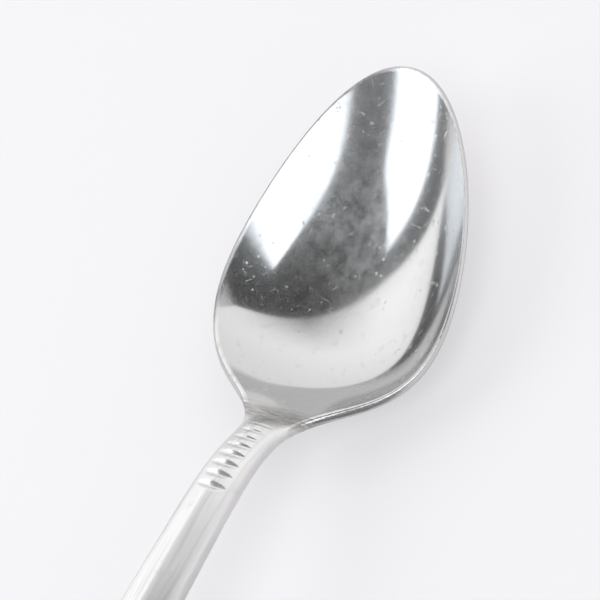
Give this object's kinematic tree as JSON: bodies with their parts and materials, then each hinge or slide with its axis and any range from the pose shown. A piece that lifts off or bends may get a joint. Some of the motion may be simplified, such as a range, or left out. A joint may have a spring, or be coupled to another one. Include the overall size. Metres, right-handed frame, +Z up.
{
  "type": "tablespoon",
  "caption": "Polished stainless steel tablespoon with an egg-shaped bowl, a ribbed neck and a crowned handle that widens to a round end, for eating, stirring and serving.",
  "frame": {"origin": "middle of the spoon's length and width, on the surface it lies on", "axes": "+X along the spoon towards the tip of the bowl, +Z up out of the bowl's open side, +Y to the left looking towards the tip"},
  "size_m": [0.2098, 0.0468, 0.0237],
  "materials": {
    "polished_steel": "mirror polished, with fine wear scratches"
  },
  "bodies": {
    "root": {"spoon": "polished_steel"}
  },
  "joints": []
}
